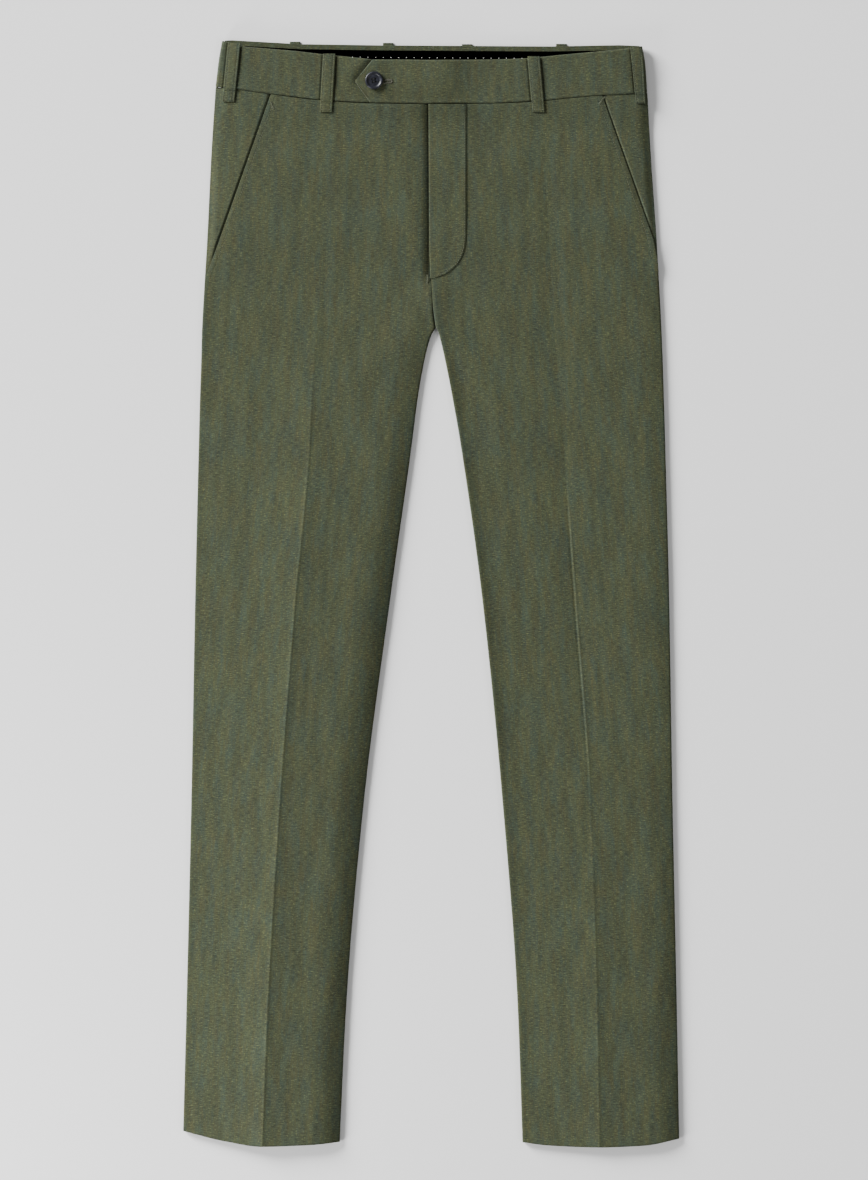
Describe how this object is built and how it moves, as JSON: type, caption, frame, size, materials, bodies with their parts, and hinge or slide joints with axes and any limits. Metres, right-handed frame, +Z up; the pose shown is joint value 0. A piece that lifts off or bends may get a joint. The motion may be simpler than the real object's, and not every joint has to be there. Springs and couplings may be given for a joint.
{
  "type": "wool trousers",
  "caption": "Tailored wool dress trousers laid flat with the front up: buttoned waist tab, belt loops, slant pockets, fly and pressed creases.",
  "frame": {"origin": "middle of the garment's outline, on the surface that it lies on", "axes": "+Y from the hems towards the waist, +Z up out of the front, +X towards the wearer's left leg"},
  "size_m": [0.4963, 1.107, 0.0146],
  "materials": {
    "wool": "fine heathered olive wool suiting, matt with a faint sheen",
    "lining": "black waistband lining, matt",
    "button": "dark navy-black four-hole button, soft gloss"
  },
  "bodies": {
    "root": {"front_right": "wool", "front_left": "wool", "back_right": "wool", "back_left": "wool", "pocket_facing_r": "wool", "pocket_facing_l": "wool", "fly": "wool", "waistband_right": "wool", "waistband_left": "wool", "loop_front_r": "wool", "loop_front_l": "wool", "loop_side_r": "wool", "loop_side_l": "wool", "loop_back_outer_r": "wool", "loop_back_inner_r": "wool", "loop_back_inner_l": "wool", "loop_back_outer_l": "wool", "waistband_lining": "lining", "button": "button"}
  },
  "joints": []
}
